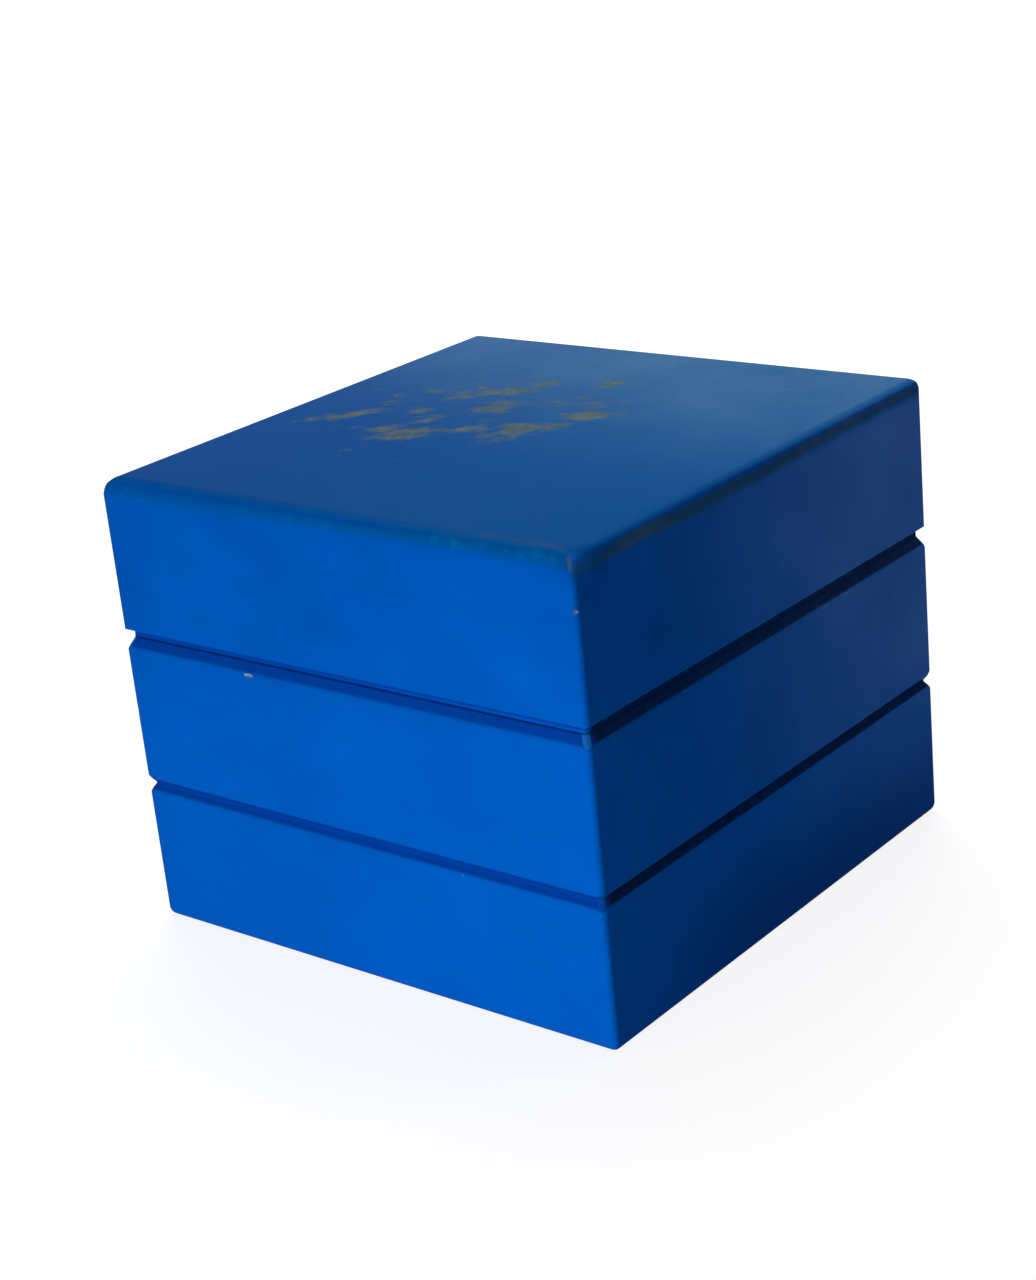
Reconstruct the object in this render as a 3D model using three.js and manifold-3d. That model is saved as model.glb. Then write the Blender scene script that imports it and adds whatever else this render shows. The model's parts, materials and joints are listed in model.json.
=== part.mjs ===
// A small painted keepsake box: a hinged lid on a base, with a groove round the seam and one round the base.
// Millimetres, +Z up. The origin is the centre of the underside. The front faces -Y, the hinges are at +Y.
import * as THREE from "three";
import { mergeVertices } from "three/addons/utils/BufferGeometryUtils.js";
import Module from "manifold-3d";

const wasm = await Module();
wasm.setup();

// Outside of the box
const boxWidth = 100;
const boxDepth = 100;
const lowerBand = 24.6; // face below the lower groove
const middleBand = 24.3; // face between the grooves
const lidBand = 27; // face above the upper groove
const grooveHeight = 2.7; // of the lower groove
const grooveFloor = 0.3; // the flat at its bottom, between two sloping sides
const grooveDepth = 0.8; // of the lower groove
const rimHeight = 1.9; // of the base's sloping rim, the lower half of the upper groove
const rebateHeight = 1.2; // round the lid's rim, the upper half of the upper groove
const rimInset = 1.1; // depth of the upper groove, where the lid's rim meets the base's
const cornerRadius = 1.2; // upright edges
const topEdgeRadius = 2.5;
const bottomEdgeRadius = 1.5;

// Boards
const wallThickness = 8;
const topThickness = 8;
const floorThickness = 6;
const seamGap = 0.3; // between the lid's rim and the base's rim

// Lining: four boards that stand above the seam and guide the lid, and two pads
const liningThickness = 2;
const liningGap = 0.3; // to the walls, so that the lid slides over
const lipHeight = 4; // of the lining above the seam
const floorPadThickness = 4;
const lidPadThickness = 5;
const padGap = 0.3; // round a pad
const padRound = 1.2; // rounding of a pad's edges
const padCornerRadius = 2.5;

// Butt hinges, with their barrels inside the upper groove
const hingeEdge = 15; // from the box's side to a hinge's near end
const hingeLength = 18;
const leafThickness = 0.8;
const leafMargin = 0.9; // from a rear wall's inner face to a leaf
const barrelLipGap = 0.35; // between a barrel and the lip of the lid's rebate
const axisOutset = 0.05; // of the hinge axis from the rims' outer edges, so that the lid swings clear
const barrelClearance = 0.25; // between a barrel and what turns round it
const outerKnuckle = 5.6; // length of each of the base leaf's two knuckles
const knuckleGap = 0.2;
const mortiseGap = 0.1; // round a leaf
const pinRadius = 0.5;
const pinClearance = 0.06;

// Countersunk screws of the hinges
const screwSpacing = 11;
const screwLength = 6;
const shankRadius = 0.65;
const tipRadius = 0.15;
const tipLength = 1.2;
const headRadius = 1.25;
const headHeight = 0.6;
const slotWidth = 0.4;
const slotDepth = 0.3;
const screwGap = 0.1; // round a screw

// Facets, and how far a cut runs past a face
const arcSteps = 5; // straight pieces in each quarter round
const padSteps = 3; // of a pad's rounded edge
const roundSteps = 16; // sides of the barrels, pins and screws
const over = 1;

// Heights that follow
const lowerGrooveTop = lowerBand + grooveHeight;
const flankHeight = (grooveHeight - grooveFloor) / 2; // of each sloping side of the lower groove
const upperGrooveBottom = lowerGrooveTop + middleBand;
const rim = seamGap / 2; // each rim's distance from the middle of the seam
const seamHeight = upperGrooveBottom + rimHeight + rim;
const baseWallHeight = seamHeight - rim - floorThickness;
const lidWallHeight = rebateHeight + lidBand - topThickness;

// Plan sizes that follow
const halfWidth = boxWidth / 2;
const halfDepth = boxDepth / 2;
const innerHalfWidth = halfWidth - wallThickness;
const innerHalfDepth = halfDepth - wallThickness;
const liningHalfWidth = innerHalfWidth - liningGap;
const liningHalfDepth = innerHalfDepth - liningGap;
const liningInnerWidth = liningHalfWidth - liningThickness;
const liningInnerDepth = liningHalfDepth - liningThickness;

// Hinge sizes that follow
const halfHinge = hingeLength / 2;
const barrelRadius = rim + rebateHeight - barrelLipGap;
const reliefRadius = barrelRadius + barrelClearance;
const axisInset = rimInset - axisOutset; // from the rear face to the hinge axis
const axisY = halfDepth - axisInset;
const leafWidth = wallThickness - axisInset - leafMargin; // from the axis to a leaf's inner edge
const screwY = -(leafWidth + reliefRadius) / 2; // the middle of a leaf's flat part
const screwPlaces = [-screwSpacing / 2, screwSpacing / 2];
const hingeX = halfWidth - hingeEdge - halfHinge;
const hingePlaces = { left: -hingeX, right: hingeX };
const innerKnuckle = hingeLength - 2 * outerKnuckle - 2 * knuckleGap;
const innerKnuckles = [[-innerKnuckle / 2, innerKnuckle / 2]];
const outerKnuckles = [
  [-halfHinge, outerKnuckle - halfHinge],
  [halfHinge - outerKnuckle, halfHinge],
];

// Finishes
const bluePaint = { color: 0x0058bc, roughness: 0.45, metalness: 0 };
const greyFelt = { color: 0x8d8a86, roughness: 0.95, metalness: 0 };
const greyVelvet = { color: 0x7b7a7c, roughness: 0.9, metalness: 0 };
const brass = { color: 0xb08d3c, roughness: 0.35, metalness: 1 };

// Solids for joining and cutting
function solidOf(geometry) {
  const bare = geometry.clone();
  bare.deleteAttribute("normal");
  bare.deleteAttribute("uv");
  const merged = mergeVertices(bare, 1e-4);
  const vertProperties = new Float32Array(merged.attributes.position.array);
  const triVerts = new Uint32Array(merged.index.array);
  return new wasm.Manifold(new wasm.Mesh({ numProp: 3, vertProperties, triVerts }));
}

function geometryOf(solid) {
  const mesh = solid.getMesh();
  const geometry = new THREE.BufferGeometry();
  geometry.setAttribute("position", new THREE.BufferAttribute(mesh.vertProperties, 3));
  geometry.setIndex(new THREE.BufferAttribute(mesh.triVerts, 1));
  geometry.computeVertexNormals();
  return geometry;
}

// A copy of a solid, turned about Y and then moved
function moved(solid, [x, y, z], turn = 0) {
  const matrix = new THREE.Matrix4().makeRotationY(turn).setPosition(x, y, z);
  return solidOf(geometryOf(solid).applyMatrix4(matrix));
}

// A box between two values of each axis
function block([x0, x1], [y0, y1], [z0, z1]) {
  const geometry = new THREE.BoxGeometry(x1 - x0, y1 - y0, z1 - z0);
  return solidOf(geometry.translate((x0 + x1) / 2, (y0 + y1) / 2, (z0 + z1) / 2));
}

// An outline in X and Y, raised from one height to another
function extruded(shape, [z0, z1]) {
  const options = { depth: z1 - z0, bevelEnabled: false, curveSegments: arcSteps };
  return new THREE.ExtrudeGeometry(shape, options).translate(0, 0, z0);
}

// A round bar along X
function bar(radius, [x0, x1]) {
  const geometry = new THREE.CylinderGeometry(radius, radius, x1 - x0, roundSteps);
  return solidOf(geometry.rotateZ(-Math.PI / 2).translate((x0 + x1) / 2, 0, 0));
}

// A rectangle with one radius at its two low corners and one at its two high corners
function roundedRectangle([x0, x1], [y0, y1], low, high) {
  const shape = new THREE.Shape();
  shape.moveTo(x0 + low, y0);
  shape.lineTo(x1 - low, y0);
  if (low) shape.absarc(x1 - low, y0 + low, low, -Math.PI / 2, 0, false);
  shape.lineTo(x1, y1 - high);
  if (high) shape.absarc(x1 - high, y1 - high, high, 0, Math.PI / 2, false);
  shape.lineTo(x0 + high, y1);
  if (high) shape.absarc(x0 + high, y1 - high, high, Math.PI / 2, Math.PI, false);
  shape.lineTo(x0, y0 + low);
  if (low) shape.absarc(x0 + low, y0 + low, low, Math.PI, 1.5 * Math.PI, false);
  return shape;
}

// A block over the whole plan between two levels, each a height and how far its sides are drawn in there
function taper([z0, inset0], [z1, inset1]) {
  const middle = (z0 + z1) / 2;
  const geometry = new THREE.BoxGeometry(boxWidth, boxDepth, z1 - z0).translate(0, 0, middle);
  const { position } = geometry.attributes;
  for (let i = 0; i < position.count; i++) {
    const inset = position.getZ(i) < middle ? inset0 : inset1;
    position.setX(i, Math.sign(position.getX(i)) * (halfWidth - inset));
    position.setY(i, Math.sign(position.getY(i)) * (halfDepth - inset));
  }
  return solidOf(geometry);
}

// What a groove takes away all round: its profile is a list of levels, from the lowest up
function grooveRing(profile) {
  const heights = [profile[0][0], profile.at(-1)[0]];
  let core = taper(profile[0], profile[1]);
  for (let i = 2; i < profile.length; i++) core = core.add(taper(profile[i - 1], profile[i]));
  return block([-boxWidth, boxWidth], [-boxDepth, boxDepth], heights).subtract(core);
}

// The four wall boards of the base or the lid, from z 0 up, before the hinges are let in. The front and rear
// boards run the full width, with the upright edges rounded, and the side boards stand between them.
function wallBoards(height, grooves) {
  const span = [0, height];
  const across = [-halfWidth, halfWidth];
  const between = [-innerHalfDepth, innerHalfDepth];
  const frontPlan = roundedRectangle(across, [-halfDepth, -innerHalfDepth], cornerRadius, 0);
  const rearPlan = roundedRectangle(across, [innerHalfDepth, halfDepth], 0, cornerRadius);
  const boards = {
    front: solidOf(extruded(frontPlan, span)),
    rear: solidOf(extruded(rearPlan, span)),
    left: block([-halfWidth, -innerHalfWidth], between, span),
    right: block([innerHalfWidth, halfWidth], between, span),
  };
  for (const side in boards) {
    for (const groove of grooves) boards[side] = boards[side].subtract(grooveRing(groove));
  }
  return boards;
}

// A board over the whole plan, from z 0 up, with the outer edges of its upper face rounded
function coverBoard(thickness, edgeRadius) {
  const width = [-halfWidth, halfWidth];
  const depth = [-halfDepth, halfDepth];
  const plan = roundedRectangle(width, depth, cornerRadius, cornerRadius);
  const widthProfile = roundedRectangle(width, [0, thickness], 0, edgeRadius);
  const depthProfile = roundedRectangle(depth, [0, thickness], 0, edgeRadius);
  const alongY = extruded(widthProfile, depth).rotateX(Math.PI / 2);
  const alongX = extruded(depthProfile, width).rotateX(Math.PI / 2).rotateZ(Math.PI / 2);
  return solidOf(extruded(plan, [0, thickness]))
    .intersect(solidOf(alongY))
    .intersect(solidOf(alongX));
}

// A pad with rounded edges, from z 0 up
function pad(halfX, halfY, thickness) {
  const x = halfX - padRound;
  const y = halfY - padRound;
  const options = {
    depth: thickness - 2 * padRound,
    bevelThickness: padRound,
    bevelSize: padRound,
    bevelSegments: padSteps,
    curveSegments: arcSteps,
  };
  const outline = roundedRectangle([-x, x], [-y, y], padCornerRadius, padCornerRadius);
  return solidOf(new THREE.ExtrudeGeometry(outline, options).translate(0, 0, padRound));
}

// A screw's body grown by a gap, with its head's face at z 0 and its point down
function screwBody(gap) {
  const profile = [
    [0, -screwLength - gap],
    [tipRadius + gap, -screwLength - gap],
    [shankRadius + gap, tipLength - screwLength],
    [shankRadius + gap, -headHeight - gap],
    [headRadius + gap, 0],
    [0, 0],
  ];
  const points = profile.map(([radius, height]) => new THREE.Vector2(radius, height));
  return solidOf(new THREE.LatheGeometry(points, roundSteps).rotateX(Math.PI / 2));
}

function screw() {
  const reach = headRadius + over;
  const slot = block([-slotWidth / 2, slotWidth / 2], [-reach, reach], [-slotDepth, over]);
  return screwBody(0).subtract(slot);
}

// A leaf, face up, with the hinge axis along X through the origin and the plate towards -Y
function leaf(ownKnuckles, otherKnuckles) {
  let made = block([-halfHinge, halfHinge], [-leafWidth, 0], [-rim - leafThickness, -rim]);
  for (const [x0, x1] of otherKnuckles) {
    made = made.subtract(bar(reliefRadius, [x0 - knuckleGap, x1 + knuckleGap]));
  }
  for (const span of ownKnuckles) made = made.add(bar(barrelRadius, span));
  for (const x of screwPlaces) made = made.subtract(moved(screwBody(screwGap), [x, screwY, -rim]));
  return made.subtract(bar(pinRadius + pinClearance, [-hingeLength, hingeLength]));
}

// What a hinge takes out of a rear wall, in a leaf's own frame: mortise, barrel relief and screw holes
function hingeSeat() {
  const side = halfHinge + mortiseGap;
  const inward = -leafWidth - mortiseGap;
  let seat = block([-side, side], [inward, axisInset + over], [-rim - leafThickness, over]);
  seat = seat.add(bar(reliefRadius, [-side, side]));
  for (const x of screwPlaces) seat = seat.add(moved(screwBody(screwGap), [x, screwY, -rim]));
  return seat;
}

// Scene: the lid's group stands at the seam
const root = new THREE.Group();
const base = new THREE.Group();
const lid = new THREE.Group();
lid.position.z = seamHeight;
root.add(base, lid);

function add(group, name, solid, finish, [x, y, z] = [0, 0, 0]) {
  const mesh = new THREE.Mesh(geometryOf(solid), new THREE.MeshStandardMaterial(finish));
  mesh.name = name;
  mesh.position.set(x, y, z);
  group.add(mesh);
  return mesh;
}

// Base boards
const onFloor = [0, 0, floorThickness];
const lowerGroove = [
  [lowerBand - floorThickness, 0],
  [lowerBand + flankHeight - floorThickness, grooveDepth],
  [lowerGrooveTop - flankHeight - floorThickness, grooveDepth],
  [lowerGrooveTop - floorThickness, 0],
];
const slopingRim = [
  [upperGrooveBottom - floorThickness, 0],
  [baseWallHeight, rimInset],
  [baseWallHeight + over, rimInset],
];
const baseBoards = wallBoards(baseWallHeight, [lowerGroove, slopingRim]);
for (const x of Object.values(hingePlaces)) {
  const seat = moved(hingeSeat(), [x, axisY, seamHeight - floorThickness]);
  baseBoards.rear = baseBoards.rear.subtract(seat);
}
for (const side in baseBoards) add(base, `base_${side}_wall`, baseBoards[side], bluePaint, onFloor);
const floorBoard = coverBoard(floorThickness, bottomEdgeRadius);
add(base, "base_floor_board", floorBoard, bluePaint, onFloor).rotation.x = Math.PI;

// Lid boards
const lidRebate = [
  [-over, rimInset],
  [rebateHeight, rimInset],
];
const lidBoards = wallBoards(lidWallHeight, [lidRebate]);
for (const x of Object.values(hingePlaces)) {
  const seat = moved(hingeSeat(), [x, axisY, -rim], Math.PI);
  lidBoards.rear = lidBoards.rear.subtract(seat);
}
for (const side in lidBoards) add(lid, `lid_${side}_wall`, lidBoards[side], bluePaint, [0, 0, rim]);
const topBoard = coverBoard(topThickness, topEdgeRadius);
add(lid, "lid_top_board", topBoard, bluePaint, [0, 0, rim + lidWallHeight]);

// Lining of the base
const liningSpan = [0, seamHeight + lipHeight - floorThickness];
const liningAcross = [-liningHalfWidth, liningHalfWidth];
const liningBetween = [-liningInnerDepth, liningInnerDepth];
const liningBoards = {
  front: block(liningAcross, [-liningHalfDepth, -liningInnerDepth], liningSpan),
  rear: block(liningAcross, [liningInnerDepth, liningHalfDepth], liningSpan),
  left: block([-liningHalfWidth, -liningInnerWidth], liningBetween, liningSpan),
  right: block([liningInnerWidth, liningHalfWidth], liningBetween, liningSpan),
};
for (const side in liningBoards) add(base, `lining_${side}`, liningBoards[side], greyFelt, onFloor);

// Pads
const floorPad = pad(liningInnerWidth - padGap, liningInnerDepth - padGap, floorPadThickness);
add(base, "floor_pad", floorPad, greyVelvet, onFloor);
const lidPad = pad(innerHalfWidth - padGap, innerHalfDepth - padGap, lidPadThickness);
add(lid, "lid_pad", lidPad, greyVelvet, [0, 0, rim + lidWallHeight - lidPadThickness]);

// Hinges: a group on the axis for each hinge's base half, and one turned over for its lid half
for (const [side, x] of Object.entries(hingePlaces)) {
  const lower = new THREE.Group();
  lower.position.set(x, axisY, seamHeight);
  base.add(lower);
  const upper = new THREE.Group();
  upper.position.set(x, axisY, 0);
  upper.rotation.y = Math.PI;
  lid.add(upper);
  add(lower, `${side}_hinge_base_leaf`, leaf(outerKnuckles, innerKnuckles), brass);
  add(lower, `${side}_hinge_pin`, bar(pinRadius, [-halfHinge, halfHinge]), brass);
  add(upper, `${side}_hinge_lid_leaf`, leaf(innerKnuckles, outerKnuckles), brass);
  screwPlaces.forEach((place, i) => {
    add(lower, `${side}_hinge_base_screw_${i + 1}`, screw(), brass, [place, screwY, -rim]);
    add(upper, `${side}_hinge_lid_screw_${i + 1}`, screw(), brass, [place, screwY, -rim]);
  });
}

export default root;
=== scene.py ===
import json
from math import cos, pi, radians, sin

import bmesh
import bpy
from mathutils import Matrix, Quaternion, Vector


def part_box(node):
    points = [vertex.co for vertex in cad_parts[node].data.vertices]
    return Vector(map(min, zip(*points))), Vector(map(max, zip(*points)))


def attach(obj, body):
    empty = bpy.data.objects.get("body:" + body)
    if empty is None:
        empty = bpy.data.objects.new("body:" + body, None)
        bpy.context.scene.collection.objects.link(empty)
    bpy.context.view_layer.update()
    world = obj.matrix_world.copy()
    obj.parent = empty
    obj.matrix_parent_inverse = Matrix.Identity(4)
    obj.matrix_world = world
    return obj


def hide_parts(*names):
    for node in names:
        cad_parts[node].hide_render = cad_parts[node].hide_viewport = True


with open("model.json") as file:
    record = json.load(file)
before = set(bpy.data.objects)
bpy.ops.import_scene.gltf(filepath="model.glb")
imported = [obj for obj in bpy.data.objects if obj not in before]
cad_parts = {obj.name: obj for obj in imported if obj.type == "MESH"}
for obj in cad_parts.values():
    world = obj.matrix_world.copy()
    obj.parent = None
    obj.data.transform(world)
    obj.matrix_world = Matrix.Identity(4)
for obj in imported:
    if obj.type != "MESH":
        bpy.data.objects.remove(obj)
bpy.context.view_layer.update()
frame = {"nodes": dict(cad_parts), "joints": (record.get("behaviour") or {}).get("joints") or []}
mm = 0.001
near = 0.002 * mm        # how close counts as at a place
mostly = 0.9             # share of a direction that counts as along an axis
hardly = 0.1             # and as across it
walls = ("front", "rear", "left", "right")
hingeSides = ("left", "right")
screwNumbers = (1, 2)    # of each hinge leaf
print("frame loaded:", len(frame["nodes"]), "nodes")

# What the frame says about the box
topLow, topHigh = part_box("lid_top_board")
floorLow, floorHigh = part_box("base_floor_board")
baseWallLow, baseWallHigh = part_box("base_front_wall")
lidWallLow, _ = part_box("lid_front_wall")
halfWidth = topHigh.x
halfDepth = topHigh.y
topZ = topHigh.z
roofZ = topLow.z                             # underside of the lid's top board
floorZ = floorHigh.z
baseRim = baseWallHigh.z
lidRim = lidWallLow.z
seamZ = (baseRim + lidRim) / 2
wall = baseWallHigh.y - baseWallLow.y
hingeAxis = Vector(frame["joints"][0]["pos_m"])

# Outside of the painted box
shell = {
    "grooveHeight": 2.7 * mm,                # of the lower groove
    "rimHeight": 1.9 * mm,                   # of the base's sloping rim
    "rebateHeight": 1.2 * mm,                # round the lid's rim
    "skirt": 0.2 * mm,                       # paint that hangs below the lid's rim, towards the base's
    "rimInset": 1.1 * mm,                    # depth of the groove at the seam
    "apexDepth": 0.95 * mm,                  # of the lower groove, before its bottom is rounded
    "lowerGroove": 24.6 * mm,                # height of its lower lip
    "topRound": {"front": 3.0 * mm, "left": 2.2 * mm, "right": 1.9 * mm, "rear": 1.3 * mm},
    "uprightRound": 1.0 * mm,                # less than rimInset
    "bottomRound": 1.5 * mm,
    "lipRound": 0.35 * mm,
    "grooveRound": 0.5 * mm,
    "rimRound": 0.25 * mm,
    "roundSteps": 6,
    "smoothAngle": 35,                       # degrees
}
largestRound = max(shell["topRound"].values())
lidLip = lidRim + shell["rebateHeight"]
lidFoot = lidRim - shell["skirt"]
middleLip = baseRim - shell["rimHeight"]
lowerLip = shell["lowerGroove"]
bandLip = lowerLip + shell["grooveHeight"]
lowerGrooveZ = (lowerLip + bandLip) / 2

# Knocks on the outer edges: place and half sizes in millimetres, the colour that shows, and how strongly
marks = {
    "lid": [
        ((49.8, -49.8, 73.4), (0.4, 0.4, 0.35), "filler", 0.6),
        ((-50.1, 21.0, 55.1), (0.6, 1.6, 0.5), "board", 0.85),
        ((-17.0, 50.1, 81.9), (1.7, 0.9, 0.9), "board", 0.85),
        ((-49.9, 49.9, 66.0), (0.6, 0.6, 1.3), "paleBoard", 0.85),
    ],
    "base": [
        ((-20.5, -50.1, 51.5), (1.0, 0.35, 0.3), "filler", 0.85),
        ((-50.0, -50.0, 40.0), (0.6, 0.6, 1.1), "paleBoard", 0.85),
        ((-50.0, 50.0, 0.4), (1.2, 1.2, 0.9), "board", 0.85),
        ((31.0, 50.0, 0.3), (1.6, 0.8, 0.7), "board", 0.85),
        ((-12.0, 50.2, 24.7), (1.4, 0.5, 0.4), "board", 0.85),
    ],
    "stoneSteps": 2,                         # subdivisions of the stone that knocks them
    "rough": 0.12 * mm,                      # how uneven it is
    "rim": (0.95, 1.15),                     # of the half sizes, over which the colour ends
    "scuffSway": 0.5,
}


# Modelling by hand, in code

def startBlock(name, low, high):             # a cube between two corners, its place in its mesh
    bpy.ops.object.select_all(action="DESELECT")
    middle = [(a + b) / 2 for a, b in zip(low, high)]
    bpy.ops.mesh.primitive_cube_add(size=1, location=middle)
    piece = bpy.context.object
    piece.name = name
    piece.data.name = name
    piece.scale = [b - a for a, b in zip(low, high)]
    bpy.ops.object.transform_apply(location=True, rotation=True, scale=True)
    return piece


def startRod(name, radius, start, end, sides):   # a cylinder between two points
    bpy.ops.object.select_all(action="DESELECT")
    run = Vector(end) - Vector(start)
    turn = run.to_track_quat("Z", "Y").to_euler()
    middle = (Vector(start) + Vector(end)) / 2
    bpy.ops.mesh.primitive_cylinder_add(
        vertices=sides, radius=radius, depth=run.length, location=middle, rotation=turn)
    piece = bpy.context.object
    piece.name = name
    piece.data.name = name
    bpy.ops.object.transform_apply(location=True, rotation=True, scale=True)
    return piece


def makeActive(piece):
    bpy.ops.object.select_all(action="DESELECT")
    piece.select_set(True)
    bpy.context.view_layer.objects.active = piece


def pick(piece, kind, test):                 # edit mode, with the faces or edges that pass selected
    bpy.ops.object.mode_set(mode="EDIT")
    bpy.ops.mesh.select_mode(type=kind)
    bpy.ops.mesh.select_all(action="DESELECT")
    form = bmesh.from_edit_mesh(piece.data)
    for item in (form.faces if kind == "FACE" else form.edges):
        item.select_set(test(item))
    form.select_flush_mode()
    bmesh.update_edit_mesh(piece.data)


def runOf(edge):                             # which way an edge goes
    return (edge.verts[1].co - edge.verts[0].co).normalized()


def leaveEdit():
    bpy.ops.object.mode_set(mode="OBJECT")


def push(height):                            # extrude what is selected, up or down
    bpy.ops.mesh.extrude_region_move(TRANSFORM_OT_translate={"value": (0, 0, height)})


def roundPicked(radius, steps):              # bevel the selected edges
    bpy.ops.mesh.bevel(offset=radius, segments=steps, affect="EDGES")
    leaveEdit()


def applyModifier(piece, kind, settings):
    makeActive(piece)
    added = piece.modifiers.new(kind.lower(), kind)
    for key, value in settings.items():
        setattr(added, key, value)
    bpy.ops.object.modifier_apply(modifier=added.name)


def roundSharp(piece, angle, radius, steps):   # bevel the edges that turn by more than an angle
    applyModifier(piece, "BEVEL", {"limit_method": "ANGLE", "angle_limit": radians(angle),
                                   "width": radius, "segments": steps})


def discard(piece):
    mesh = piece.data
    bpy.data.objects.remove(piece)
    bpy.data.meshes.remove(mesh)


def combine(piece, tool, operation):         # boolean with a tool that is used up
    applyModifier(piece, "BOOLEAN", {"object": tool, "operation": operation, "solver": "EXACT"})
    discard(tool)


def clearSlivers(piece):                     # merges the tiny edges that cuts leave
    makeActive(piece)
    bpy.ops.object.mode_set(mode="EDIT")
    bpy.ops.mesh.select_all(action="SELECT")
    bpy.ops.mesh.remove_doubles(threshold=near)
    bpy.ops.mesh.dissolve_degenerate(threshold=near)
    leaveEdit()


flatWeight = 80                              # how far large faces rule the shading, from 1 to 100


def smoothBy(piece, degrees):                # round edges shade smooth, flat faces stay flat
    makeActive(piece)
    bpy.ops.object.shade_smooth_by_angle(angle=radians(degrees))
    applyModifier(piece, "WEIGHTED_NORMAL", {"mode": "FACE_AREA", "weight": flatWeight, "keep_sharp": True})


def copyOf(piece, name, place, turnY=0.0, turnZ=0.0):   # its own mesh, its place in that mesh
    copied = piece.copy()
    copied.data = piece.data.copy()
    copied.name = name
    copied.data.name = name
    bpy.context.scene.collection.objects.link(copied)
    makeActive(copied)
    copied.rotation_euler = (0, turnY, turnZ)
    copied.location = place
    bpy.ops.object.transform_apply(location=True, rotation=True, scale=True)
    return copied


def settle(piece, body, nodes, finish):   # its body, what it stands for, and its finish
    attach(piece, body)
    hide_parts(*nodes)
    piece.data.materials.clear()
    piece.data.materials.append(finish)


# Shader maths

class Wire:                                  # a socket that takes part in sums
    def __init__(self, tree, socket=None):
        self.tree = tree
        self.socket = socket

    def node(self, kind, settings=None, inputs=None, output=0):
        made = self.tree.nodes.new(kind)
        for key, value in (settings or {}).items():
            setattr(made, key, value)
        for key, value in (inputs or {}).items():
            self.feed(made.inputs[key], value)
        return Wire(self.tree, made.outputs[output])

    def feed(self, socket, value):
        if isinstance(value, Wire):
            self.tree.links.new(value.socket, socket)
        else:
            socket.default_value = value

    def math(self, operation, first, second=0.0):
        return self.node("ShaderNodeMath", {"operation": operation}, {0: first, 1: second})

    def __add__(self, other):
        return self.math("ADD", self, other)

    def __radd__(self, other):
        return self.math("ADD", other, self)

    def __sub__(self, other):
        return self.math("SUBTRACT", self, other)

    def __rsub__(self, other):
        return self.math("SUBTRACT", other, self)

    def __mul__(self, other):
        return self.math("MULTIPLY", self, other)

    def __rmul__(self, other):
        return self.math("MULTIPLY", other, self)

    def __truediv__(self, other):
        return self.math("DIVIDE", self, other)

    def __rtruediv__(self, other):
        return self.math("DIVIDE", other, self)

    def __abs__(self):
        return self.math("ABSOLUTE", self)

    def least(self, other):
        return self.math("MINIMUM", self, other)

    def most(self, other):
        return self.math("MAXIMUM", self, other)

    def rise(self, low, high):               # 0 at low, 1 at high, smooth between
        return self.node("ShaderNodeMapRange", {"interpolation_type": "SMOOTHSTEP"},
                         {"Value": self, "From Min": low, "From Max": high})

    def fall(self, low, high):               # 1 at low, 0 at high
        return 1 - self.rise(low, high)

    def sway(self, width):                   # a noise that swings about 0 instead of a half
        return (self - 0.5) * width

    def colour(self, first, second):         # first where this is 0, second where it is 1
        return self.node("ShaderNodeMix", {"data_type": "RGBA"}, {0: self, 6: first, 7: second}, 2)

    def noise(self, scale, detail, roughness):
        return self.node("ShaderNodeTexNoise", {},
                         {"Vector": self, "Scale": scale, "Detail": detail, "Roughness": roughness})

    def mapped(self, shift=(0, 0, 0), turn=0.0, stretch=(1, 1, 1)):
        return self.node("ShaderNodeMapping", {"vector_type": "TEXTURE"},
                         {"Vector": self, "Location": shift, "Rotation": (0, 0, turn), "Scale": stretch})


def srgb(red, green, blue):                  # a colour as it looks on a screen, 0 to 255
    levels = [channel / 255 for channel in (red, green, blue)]
    linear = [v / 12.92 if v <= 0.04045 else ((v + 0.055) / 1.055) ** 2.4 for v in levels]
    return (*linear, 1.0)


def newFinish(name, constants):              # a material, its shader node, and its object coordinates
    finish = bpy.data.materials.new(name)
    finish.use_nodes = True
    shader = finish.node_tree.nodes["Principled BSDF"]
    for key, value in constants.items():
        shader.inputs[key].default_value = value
    start = Wire(finish.node_tree)
    place = start.node("ShaderNodeTexCoord", output="Object")
    return finish, shader, place


def axesOf(place):
    apart = place.node("ShaderNodeSeparateXYZ", {}, {0: place})
    return [Wire(place.tree, output) for output in apart.socket.node.outputs]


def bumpBy(shader, height, strength, distance):
    bump = height.node("ShaderNodeBump", {}, {"Strength": strength, "Distance": distance, "Height": height})
    height.feed(shader.inputs["Normal"], bump)


# Blue paint

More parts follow.
